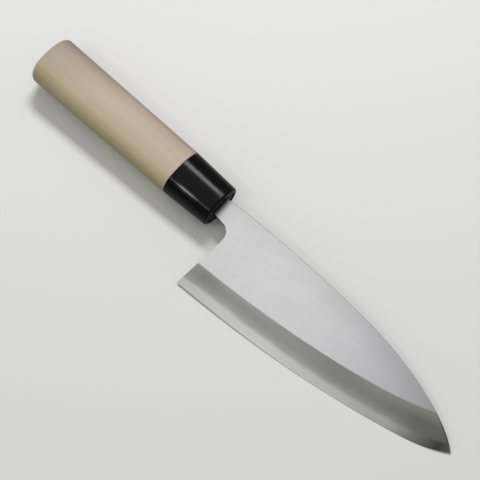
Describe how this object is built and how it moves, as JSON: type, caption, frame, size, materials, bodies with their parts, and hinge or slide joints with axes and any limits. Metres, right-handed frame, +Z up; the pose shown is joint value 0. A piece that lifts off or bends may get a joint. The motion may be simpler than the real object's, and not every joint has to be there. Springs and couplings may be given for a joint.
{
  "type": "deba knife",
  "caption": "Heavy single-bevel kitchen knife with a laminated blade, a D-shaped light wood handle and a black ferrule, lying on its back.",
  "frame": {"origin": "on the table under the middle of the knife's length and breadth", "axes": "+X along the handle towards the tip, +Y towards the spine, +Z up, out of the bevelled face"},
  "size_m": [0.3004, 0.0587, 0.0238],
  "materials": {
    "hard_steel": "fine satin, whetstone polished",
    "soft_iron": "satin upper face, hazy matt bevel",
    "magnolia": "bare, sanded smooth",
    "black_ferrule": "polished black",
    "dark_resin": "dull"
  },
  "bodies": {
    "root": {"blade_hard_steel": "hard_steel", "blade_soft_iron": "soft_iron", "handle": "magnolia", "ferrule": "black_ferrule", "tang_resin": "dark_resin"}
  },
  "joints": []
}
